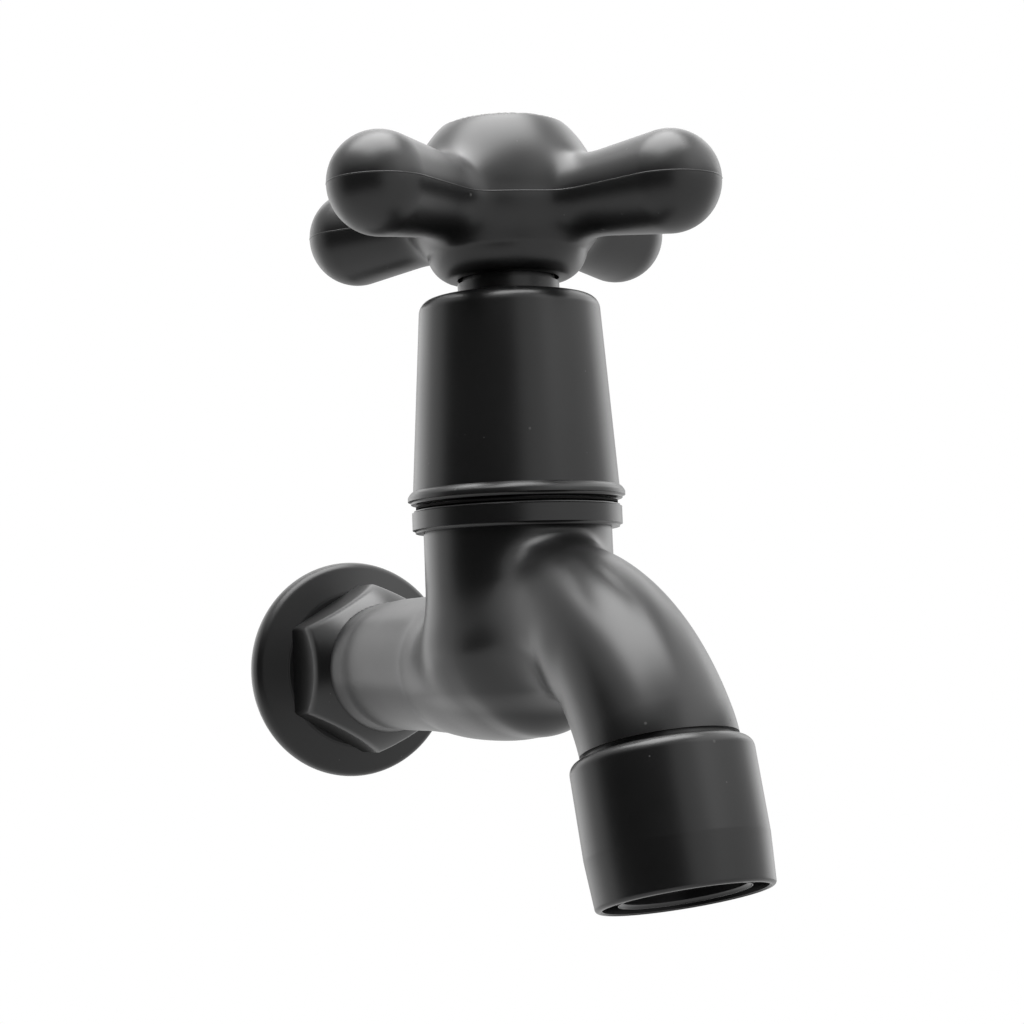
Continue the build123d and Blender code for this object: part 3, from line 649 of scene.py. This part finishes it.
def flangeOutline():
    s = flange
    front, face = (s["boreR"], -s["depth"]), (s["faceR"], -s["faceDepth"])
    side = (s["sideR"], -s["sideDepth"])
    return (
        [(s["boreR"], 0), front]
        + eased([front, (s["flatR"], -s["depth"]), face], {1: s["flatRound"]})[1:-1]
        + bow(face, side, -s["round"], 10)
        + bow(side, (s["backR"], 0), -s["bulge"], 14)[1:]
        + [(s["recessR"], 0), (s["recessR"], -s["recess"]), (s["hubR"], -s["recess"]), (s["hubR"], 0)]
    )


placePiece(turned("flangeDisc", flangeOutline(), wallAxis, 192), "flange_plastic", "tap", "wall_flange")

# Cup over the neck: a rounded rim band, a tapered wall, a rounded shoulder and a low crown with a short neck
cup = {
    "bottom": 23.85, "bottomRound": 0.45, "rimR": 16.15, "rim": 1.95, "baseR": 15.34, "draft": 3.87,
    "shoulder": 52.25, "round": 2.1, "crown": 11.0, "neckR": 7.6, "neckTop": 56.5, "holeR": 7.0,
    "ceiling": 51.2, "innerR": 10.8, "pressR": 11.0, "threadR": 12.4, "threadTop": 36.9,
}


def cupOutline():
    # the shoulder's arc turns from the wall's draft to the crown's slope
    s = cup
    draft, crown = math.radians(s["draft"]), math.radians(s["crown"])
    rimTop, rimMiddle = s["bottom"] + s["rim"], (s["rimR"], s["bottom"] + s["rim"] / 2)
    shoulderR = s["baseR"] - (s["shoulder"] - s["bottom"] - s["rim"]) * math.tan(draft)
    turnEnd = math.pi / 2 - crown
    edgeR = shoulderR - s["round"] * (math.cos(draft) - math.cos(turnEnd))
    edgeZ = s["shoulder"] + s["round"] * (math.sin(turnEnd) - math.sin(draft))
    crownTop = edgeZ + (edgeR - s["neckR"]) * math.tan(crown)
    return (
        eased([(s["threadR"], s["bottom"]), (s["rimR"], s["bottom"]), rimMiddle], {1: s["bottomRound"]})
        + bow(rimMiddle, (s["baseR"], rimTop), -s["rim"], 9)[1:]
        + bow((shoulderR, s["shoulder"]), (edgeR, edgeZ), -s["round"], 14)
        + [(s["neckR"], crownTop), (s["neckR"], s["neckTop"]), (s["holeR"], s["neckTop"])]
        + [(s["holeR"], s["ceiling"]), (s["innerR"], s["ceiling"])]
        + [(s["pressR"], s["threadTop"]), (s["threadR"], s["threadTop"])]
    )


placePiece(turned("cupShell", cupOutline(), valveAxis, 192), "cup_plastic", "tap", "bonnet_cover")

# Nozzle: a shell with a rounded shoulder, drawn in a little at its mouth, with a web that seats on the spout
nozzle = {
    "r": 12.5, "shoulder": 1.6, "straight": 13.0, "mouthR": 12.075, "length": 19.93, "lip": 0.55,
    "lipInner": 0.2, "boreR": 11.1, "seat": 9.8, "seatThick": 1.7, "waistR": 7.6, "endR": 9.5,
}


def nozzleOutline():
    s = nozzle
    seat, web, mouth = -s["seat"], -s["seat"] - s["seatThick"], -s["length"]
    return (
        [(s["waistR"], seat), (s["waistR"], web), (s["boreR"], web)]
        + eased([(s["boreR"], seat), (s["boreR"], mouth), (s["mouthR"], mouth)], {1: s["lipInner"]})[1:-1]
        + bow((s["mouthR"] - s["lip"], mouth), (s["mouthR"], mouth + s["lip"]), -s["lip"], 9)
        + [(s["r"], -s["straight"])]
        + bow((s["r"], -s["shoulder"]), (s["r"] - s["shoulder"], 0), -s["shoulder"], 12)
        + [(s["endR"], 0), (s["endR"], seat)]
    )


placePiece(turned("nozzleShell", nozzleOutline(), outletAxis, 192), "nozzle_plastic", "tap", "nozzle")

# Insert inside the nozzle, with a ledge under the flow grid
insert = {
    "boreR": 7.5, "top": -11.5, "flangeR": 11.0, "flange": 1.4, "r": 9.45, "end": -19.5,
    "mouthR": 8.35, "ledge": -17.9, "ledgeR": 7.1, "gridBottom": -16.3,
}
corners = [
    (insert["boreR"], insert["top"]), (insert["flangeR"], insert["top"]),
    (insert["flangeR"], insert["top"] - insert["flange"]), (insert["r"], insert["top"] - insert["flange"]),
    (insert["r"], insert["end"]), (insert["mouthR"], insert["end"]),
    (insert["mouthR"], insert["ledge"]), (insert["ledgeR"], insert["ledge"]),
    (insert["ledgeR"], insert["gridBottom"]), (insert["boreR"], insert["gridBottom"]),
]
insertRing = turned("insertRing", eased(corners, {4: 0.5, 5: 0.5, 7: 0.3}), outletAxis)
placePiece(insertRing, "insert_plastic", "tap", "outlet_insert")
print("flange, cup and nozzle done")

# Cross handle
cross = {
    "height": 67.5, "reach": 29.22, "ballR": 7.45, "taper": 6.5, "angle": 25.4, "armMelt": 9.0,
    "hubMelt": 6.0, "bottom": 57.2, "bottomR": 9.2, "footR": 10.9, "foot": 3.6, "footRound": 4.6,
    "top": 80.4, "edge": 1.3, "cutPast": 3.0,
    "domeR": 14.6, "domeUp": 16.3, "domeDown": 9.8, "soft": 5.0, "waistBlend": 1.5,
    "hollowR": 7.6, "hollowTop": 62.4, "seatR": 7.0, "seat": 2.3, "low": 55.9, "high": 81.6, "cell": 0.42,
}


def hubOutline():
    # a short round foot melts into a dome that is widest at the mould line: half an ellipse below and a
    # fuller one above, cut flat at the top with a rounded edge
    s = cross
    z = np.linspace(s["bottom"] + s["foot"], s["top"], 110)
    up = z - s["height"]
    half = np.where(up > 0, s["domeUp"], s["domeDown"])
    dome = s["domeR"] * np.sqrt(np.maximum(1 - (up / half) ** 2, 0))
    soft = (dome + s["footR"] + np.sqrt((dome - s["footR"]) ** 2 + s["soft"])) / 2
    blend = step(up, -s["waistBlend"], s["waistBlend"])
    side = list(zip(soft * (1 - blend) + dome * blend, z))
    foot = bow((s["bottomR"], s["bottom"]), side[0], -s["footRound"], 16)
    last = 6  # rows at the top that give way to the rounded edge
    corners = [(0, s["height"]), side[-last], (side[-1][0], s["top"]), (0, s["top"])]
    return [(0, s["bottom"])] + foot + side[1:-last] + eased(corners, {2: s["edge"]}, 10)[2:]


hubField = sectionField(hubOutline())
taper = math.radians(cross["taper"])
startR = cross["ballR"] / math.cos(taper) - cross["reach"] * math.tan(taper)


def armDistance(along, side, height):
    # distance to a round cone that widens outwards from the middle and ends in a ball
    radial = np.hypot(side, height)
    ball = np.hypot(along - cross["reach"], radial) - cross["ballR"]
    cone = (radial - startR - along * math.tan(taper)) * math.cos(taper)
    pastCone = (along - cross["reach"]) * math.cos(taper) + radial * math.sin(taper) > 0
    return np.where(pastCone, ball, cone)


def handleDistance(points):
    # the domed hub melted into two crossing bars of arms, which also melt into each other
    x, y, z = points[:, 0], points[:, 1] + reach, points[:, 2]
    turn = math.radians(cross["angle"])
    across = np.abs(x * math.cos(turn) + y * math.sin(turn))
    away = np.abs(y * math.cos(turn) - x * math.sin(turn))
    up = z - cross["height"]
    arms = meltedUnion(armDistance(across, away, up), armDistance(away, across, up), cross["armMelt"])
    return meltedUnion(hubField(np.hypot(x, y), z), arms, cross["hubMelt"])


def roundCutter(radius, low, high):
    outline = [(0, low), (radius, low), (radius, high), (0, high)]
    return turned("cutter", outline, valveAxis, 96, closed=False)


size = cross["reach"] + cross["ballR"] + 1
boxLow, boxHigh = (-size, -reach - size, cross["low"]), (size, -reach + size, cross["high"])
points, faces = netSurface(handleDistance, boxLow, boxHigh, cross["cell"])
handleShell = meshPiece("handleShell", points, faces)
carved(handleShell, roundCutter(cross["hollowR"], cross["bottom"] - cross["cutPast"], cross["hollowTop"]))
capSeat = roundCutter(cross["seatR"], cross["top"] + cross["cutPast"], cross["top"] - cross["seat"])
carved(handleShell, capSeat)
placePiece(handleShell, "handle_plastic", "handle_set", "handle")

# Bead on the handle where the halves of the mould met
seam = {
    "width": 0.17, "proud": 0.055, "spokes": 10, "points": 900, "rays": 6000,
    "near": 5.0, "far": 45.0, "halvings": 28,
}


def handleSeam():
    # the widest outline of the cross is found by halving along rays from its middle and divided evenly, and a
    # thin round bead runs along it
    s = seam
    middle = np.array([0, -reach, cross["height"]])
    angles = np.linspace(0, 2 * math.pi, s["rays"], endpoint=False)
    ray = np.stack([np.cos(angles), np.sin(angles), 0 * angles], 1)
    near, far = np.full(angles.shape, s["near"]), np.full(angles.shape, s["far"])
    for _ in range(s["halvings"]):
        half = (near + far) / 2
        outside = handleDistance(middle + ray * half[:, None]) > 0
        near, far = np.where(outside, near, half), np.where(outside, half, far)
    loop = ray * near[:, None]
    travel = np.concatenate([[0], np.cumsum(np.linalg.norm(np.roll(loop, -1, axis=0) - loop, axis=1))])
    even = np.linspace(0, travel[-1], s["points"], endpoint=False)
    loop = np.stack([np.interp(even, travel, np.append(loop[:, i], loop[0, i])) for i in range(3)], 1)
    loop += middle
    way = np.roll(loop, -1, axis=0) - np.roll(loop, 1, axis=0)
    outward = np.cross(way / np.linalg.norm(way, axis=1)[:, None], [0, 0, 1])
    turns = np.linspace(0, 2 * math.pi, s["spokes"], endpoint=False)
    ringOut, ringUp = np.cos(turns) * s["width"] + s["proud"] - s["width"], np.sin(turns) * s["width"]
    points = loop[:, None] + outward[:, None] * ringOut[:, None] + ringUp[:, None] * np.array([0, 0, 1.0])
    faces = gridFaces(len(loop), s["spokes"], closedRows=True)
    return meshPiece("handleSeam", points.reshape(-1, 3), faces, 80)


placePiece(handleSeam(), "handle_plastic", "handle_set")

# Button that closes the screw hole: a low dome with a rounded edge, and a skirt below
cap = {
    "r": 6.9, "seat": 78.1, "top": 80.4, "dome": 0.8, "skirtR": 4.5, "innerR": 3.7, "skirt": 77.1,
    "edge": 0.3, "edgeDrop": 0.25, "edgeR": 0.35, "edgeTop": 0.03, "domeFoot": 0.06,
}


def capOutline():
    s = cap
    edgeIn = s["r"] - s["edge"]
    domeR = (s["r"] ** 2 + s["dome"] ** 2) / (2 * s["dome"])
    return (
        [(0, s["seat"]), (s["innerR"], s["seat"]), (s["innerR"], s["skirt"]), (s["skirtR"], s["skirt"])]
        + [(s["skirtR"], s["seat"]), (s["r"], s["seat"])]
        + bow((s["r"], s["top"] - s["edgeDrop"]), (edgeIn, s["top"] + s["edgeTop"]), -s["edgeR"], 5)
        + bow((edgeIn, s["top"] + s["domeFoot"]), (0, s["top"] + s["dome"]), -domeR, 14)[1:]
    )


capButton = turned("capButton", capOutline(), valveAxis, 128, closed=False)
placePiece(capButton, "handle_plastic", "handle_set", "handle_cap")
print("handle done")

# Pieces that stay as the CAD made them
nodeFinish = {
    "spindle_guide": "guide_plastic", "flow_grid": "insert_plastic",
    "spindle": "acetal", "jumper_valve": "acetal", "thrust_washer": "acetal",
    "collar_gasket": "rubber", "guide_oring": "rubber", "seat_washer": "rubber", "nozzle_gasket": "rubber",
    "spindle_oring_lower": "rubber", "spindle_oring_upper": "rubber",
    "washer_screw": "steel", "handle_screw": "steel",
}
for node, slot in nodeFinish.items():
    for material in frame["nodes"][node].material_slots:
        material.material = finishes[slot]
print("CAD pieces finished:", len(nodeFinish))

# Camera, which looks from the left front and slightly from below
view = {
    "azimuth": 28.45, "elevation": -3.3, "roll": -2.23, "distance": 341.42,
    "aimRight": 2.65, "aimHeight": 19.84, "focalPixels": 2300.5, "centreX": 535.7, "centreY": 528.14,
    "frame": 1024, "sensor": 36, "near": 0.01,
}


def towardsView(turn, rise):
    # direction from the tap to a place at that turn from the front and that rise, all in radians
    return np.stack([-np.sin(turn) * np.cos(rise), -np.cos(turn) * np.cos(rise), np.sin(rise)], -1)


def placeFacing(thing, right, up, back, place):
    # turns an object so that its own axes run right, up and back, and sets it at a place in metres
    thing.matrix_world = Matrix([[right[i], up[i], back[i], place[i]] for i in range(3)] + [[0, 0, 0, 1]])


azimuth, elevation, roll = (math.radians(view[name]) for name in ("azimuth", "elevation", "roll"))
towards = towardsView(azimuth, elevation)
level = np.cross(-towards, [0, 0, 1])
level /= np.linalg.norm(level)
upright = np.cross(level, -towards)
right = math.cos(roll) * level + math.sin(roll) * upright
up = math.cos(roll) * upright - math.sin(roll) * level
eye = np.array([0, -reach, view["aimHeight"]]) + level * view["aimRight"] + towards * view["distance"]
camera = bpy.data.objects.new("camera", bpy.data.cameras.new("camera"))
scene.collection.objects.link(camera)
placeFacing(camera, right, up, towards, eye * mm)
camera.data.sensor_width = view["sensor"]
camera.data.lens = view["sensor"] * view["focalPixels"] / view["frame"]
camera.data.shift_x = (view["frame"] / 2 - view["centreX"]) / view["frame"]
camera.data.shift_y = (view["centreY"] - view["frame"] / 2) / view["frame"]
camera.data.clip_start = view["near"]
scene.camera = camera

# Floor and background, white to the camera and plain to the tap
studio = {
    "world": 0.5, "floorHeight": -0.18, "floorSize": 12.0, "floorColour": 0.9,
    "glowUnder": 0.75, "glowFrom": 0.25, "glowTo": 0.75,
}
white = (1, 1, 1, 1)


def emptyTree(owner):
    owner.use_nodes = True
    owner.node_tree.nodes.clear()
    return Wire(owner.node_tree)


def lightMix(wire, dim, bright):
    # bright for what the camera, gloss and glass see, and dim for what lights the object
    rays = ("Is Camera Ray", "Is Glossy Ray", "Is Transmission Ray")
    camera, gloss, glass = (wire.node("ShaderNodeLightPath", output=ray) for ray in rays)
    seen = wire.maths("MINIMUM", camera + gloss + glass, 1.0)
    return wire.node("ShaderNodeMixShader", {0: seen, 1: dim, 2: bright})


scene.world = bpy.data.worlds.new("studio")
wire = emptyTree(scene.world)
dim = wire.node("ShaderNodeBackground", {"Color": white, "Strength": studio["world"]})
bright = wire.node("ShaderNodeBackground", {"Color": white, "Strength": 1.0})
wire.node("ShaderNodeOutputWorld", {0: lightMix(wire, dim, bright)})


def floorFinish():
    # the camera sees a pale floor that keeps the shadow and turns to plain white away from the tap
    material = bpy.data.materials.new("paleFloor")
    wire = emptyTree(material)
    matt = wire.node("ShaderNodeBsdfDiffuse", {"Color": (studio["floorColour"],) * 3 + (1,)})
    glow = wire.node("ShaderNodeEmission", {"Color": white, "Strength": 1.0})
    place = wire.node("ShaderNodeTexCoord", output="Object")
    away = wire.node("ShaderNodeVectorMath", {0: place}, output="Value", operation="LENGTH")
    outwards = away.between(studio["glowFrom"], studio["glowTo"])
    share = studio["glowUnder"] + (1 - studio["glowUnder"]) * outwards
    kept = wire.node("ShaderNodeMixShader", {0: share, 1: matt, 2: glow})
    wire.node("ShaderNodeOutputMaterial", {0: lightMix(wire, matt, kept)})
    return material


floorCorners = np.array([(-1, -1, 0), (1, -1, 0), (1, 1, 0), (-1, 1, 0)]) * studio["floorSize"] / 2
floor = meshPiece("floor", (floorCorners + [0, 0, studio["floorHeight"]]) / mm, [[0, 1, 2, 3]])
floor.data.materials.append(floorFinish())

# Lamps: turn from the camera's side and rise in degrees, distance, width and height in metres, and radiance
centre = np.array([0, -reach, 25])
lamps = {
    "topLight": (60, 82, 0.7, 0.74, 0.74, 1.8),
    "topSheen": (60, 84, 0.71, 0.72, 0.72, 6.0),
    "backLight": (180, 40, 0.8, 0.9, 0.45, 1.3),
    "rightLight": (-92, 38, 0.8, 1.7, 0.5, 1.4),
    "rightRim": (-137, 3, 0.8, 0.5, 0.6, 1.1),
    "leftRim": (138, 0, 0.8, 0.55, 0.7, 1.0),
}
glossLamp = "topSheen"  # the one that only gloss sees
overhead = 80  # a lamp that stands higher than this keeps its sides along the tap's


def softLight(name, turn, rise, distance, width, tall, radiance):
    # a soft panel that faces the tap
    data = bpy.data.lights.new(name, "AREA")
    data.shape, data.size, data.size_y = "RECTANGLE", width, tall
    data.energy = radiance * math.pi * width * tall
    lamp = bpy.data.objects.new(name, data)
    scene.collection.objects.link(lamp)
    back = towardsView(azimuth + math.radians(turn), math.radians(rise))
    side = sideways.astype(float) if rise > overhead else np.cross([0, 0, 1], back)
    side /= np.linalg.norm(side)
    placeFacing(lamp, side, np.cross(back, side), back, centre * mm + back * distance)
    lamp.visible_camera = False
    lamp.visible_diffuse = name != glossLamp


for name, values in lamps.items():
    softLight(name, *values)

# Black card on the camera's left, bent round the tap, which only reflections see
card = {
    "start": -8.0, "end": 88.0, "lowStart": -42.0, "lowEnd": -12.0, "high": 29.0, "distance": 0.62,
    "columns": 40, "rows": 24, "colour": 0.01,
}


def cardPiece():
    # turn and rise on a grid, at one distance from the tap; the lower edge climbs from one side to the other
    s = card
    across, upwards = np.meshgrid(np.linspace(0, 1, s["columns"]), np.linspace(0, 1, s["rows"]))
    turn = azimuth + np.radians(mixed(s["start"], s["end"], across))
    rise = np.radians(mixed(mixed(s["lowStart"], s["lowEnd"], across), s["high"], upwards))
    points = centre + s["distance"] / mm * towardsView(turn, rise).reshape(-1, 3)
    piece = meshPiece("darkCard", points, gridFaces(s["rows"], s["columns"], closedColumns=False))
    material, shader, *_ = newMaterial("darkCard")
    shader.inputs["Base Color"].default_value = (s["colour"],) * 3 + (1,)
    shader.inputs["Roughness"].default_value = 1.0
    piece.data.materials.append(material)
    piece.visible_camera = piece.visible_diffuse = piece.visible_shadow = False
    return piece


cardPiece()
print("camera and light placed")
